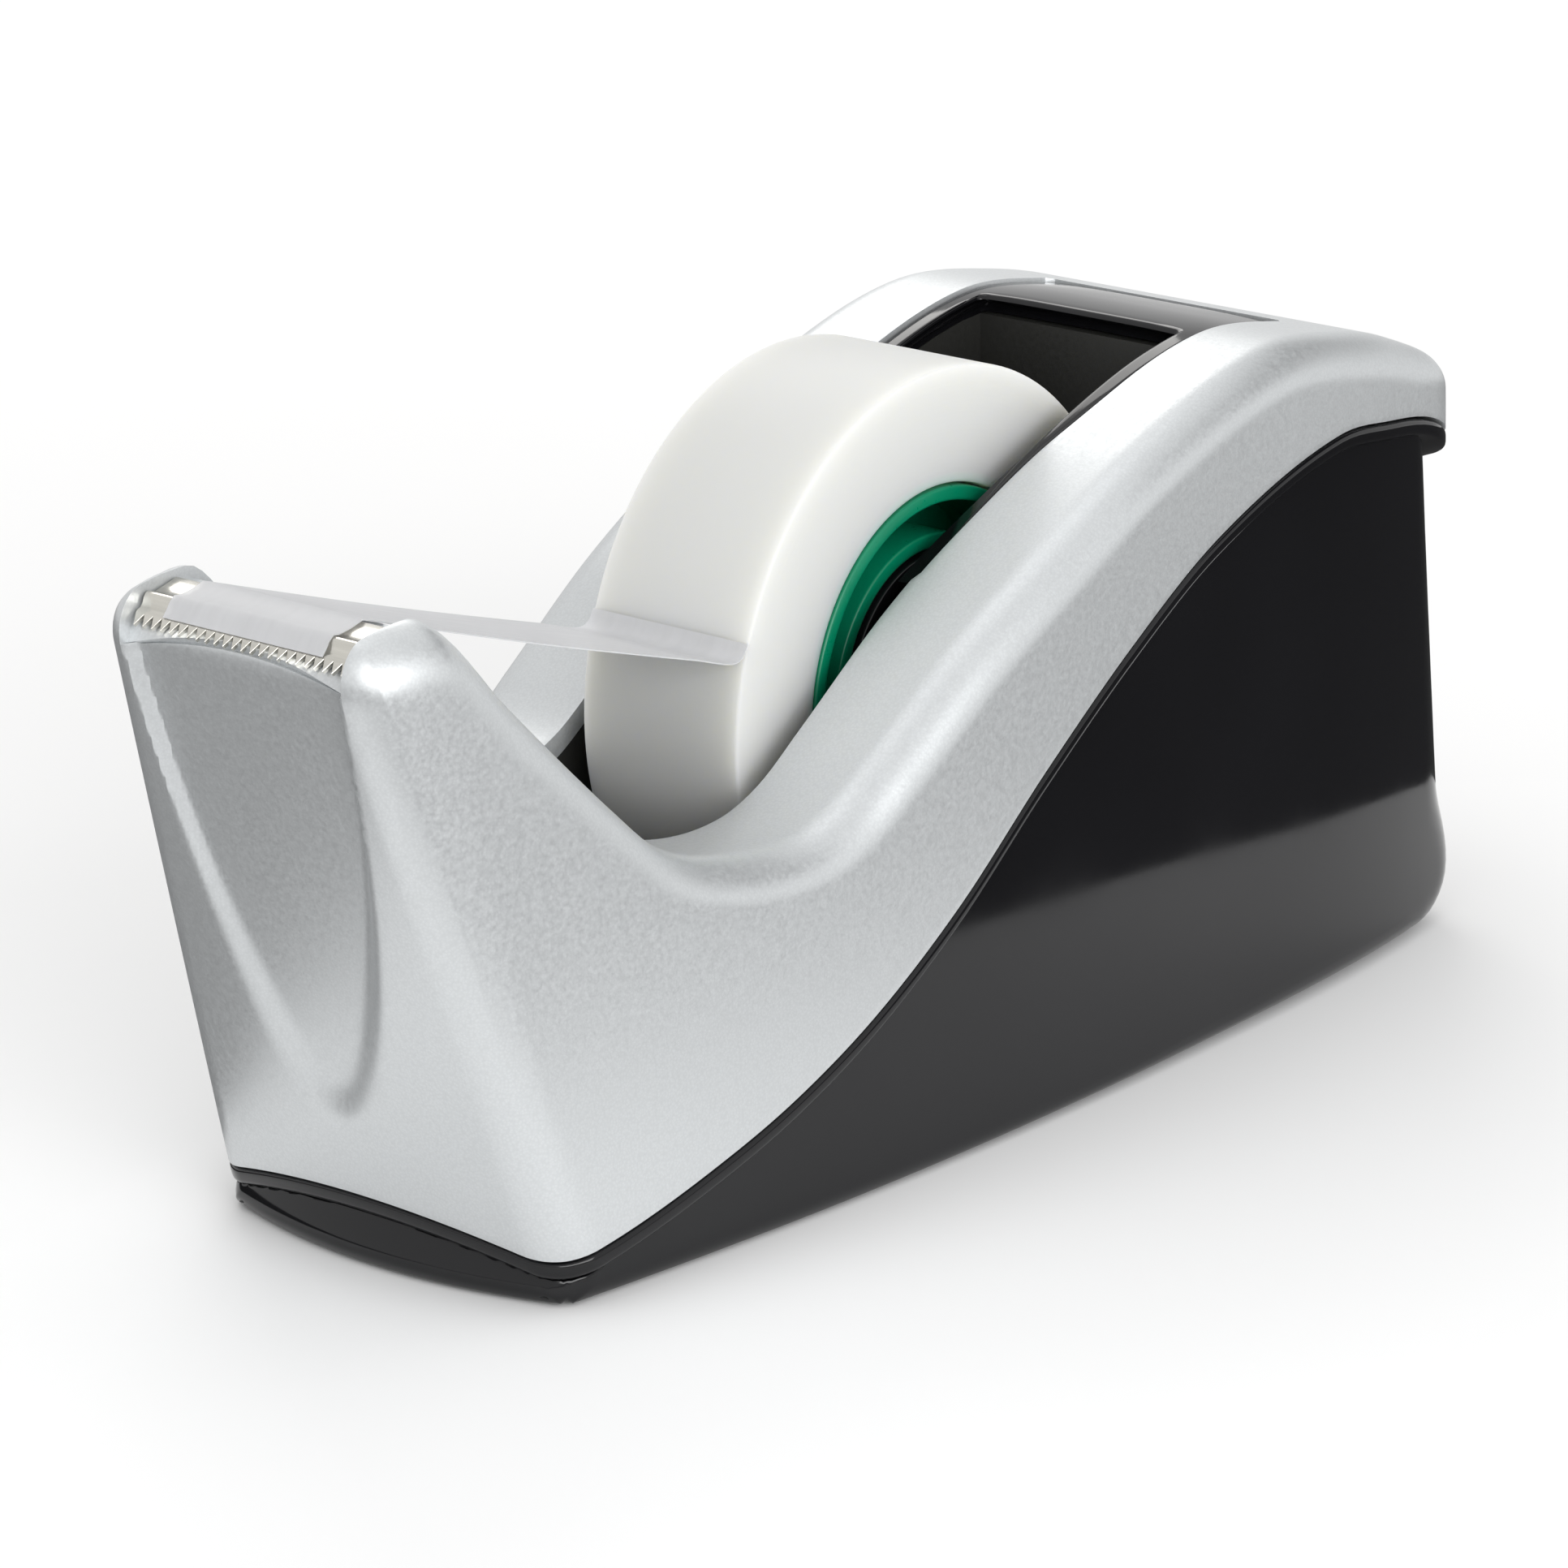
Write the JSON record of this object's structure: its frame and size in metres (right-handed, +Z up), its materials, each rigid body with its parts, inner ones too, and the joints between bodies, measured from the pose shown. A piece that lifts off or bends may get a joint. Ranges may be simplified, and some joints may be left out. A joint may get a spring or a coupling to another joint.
{
  "type": "tape dispenser",
  "caption": "Desktop tape dispenser with a satin shell over a weighted gloss base, a toothed blade on the nose and a roll on a lift-out hub.",
  "frame": {"origin": "under the middle of the object, on the surface that it stands on", "axes": "+Z up, -X towards the nose and its blade, Y along the roll's axle"},
  "size_m": [0.1685, 0.0562, 0.072],
  "materials": {
    "satin_silver": "satin metallic paint on ABS",
    "gloss_black": "high gloss ABS",
    "well_black": "moulded",
    "nickel": "nickel-plated steel",
    "grey_foam": "closed-cell foam",
    "cast_iron": "as cast",
    "zinc_steel": "zinc plated",
    "tape_film": "matte translucent film",
    "green_core": "moulded"
  },
  "bodies": {
    "dispenser": {"top_shell": "satin_silver", "base_casing": "gloss_black", "tape_well": "well_black", "rear_panel": "gloss_black", "axle_cradle_left": "well_black", "axle_cradle_right": "well_black", "cutting_blade": "nickel", "bottom_plate": "well_black", "grip_pad": "grey_foam", "ballast_front": "cast_iron", "ballast_rear": "cast_iron", "base_screw_1": "zinc_steel", "base_screw_2": "zinc_steel", "base_screw_3": "zinc_steel", "base_screw_4": "zinc_steel"},
    "axle": {"hub_axle": "well_black", "tape_strip": "tape_film"},
    "hub": {"hub_half_left": "well_black", "hub_half_right": "well_black", "tape_core": "green_core", "tape_roll": "tape_film"}
  },
  "joints": [
    {"name": "hub_lift", "type": "slide", "parent": "dispenser", "child": "axle", "axis": [0, 0, 1], "range_m": [0, 0.06]},
    {"name": "hub_spin", "type": "hinge", "parent": "axle", "child": "hub", "pos_m": [0.00675, 0, 0.041], "axis": [0, 1, 0], "continuous": true}
  ]
}
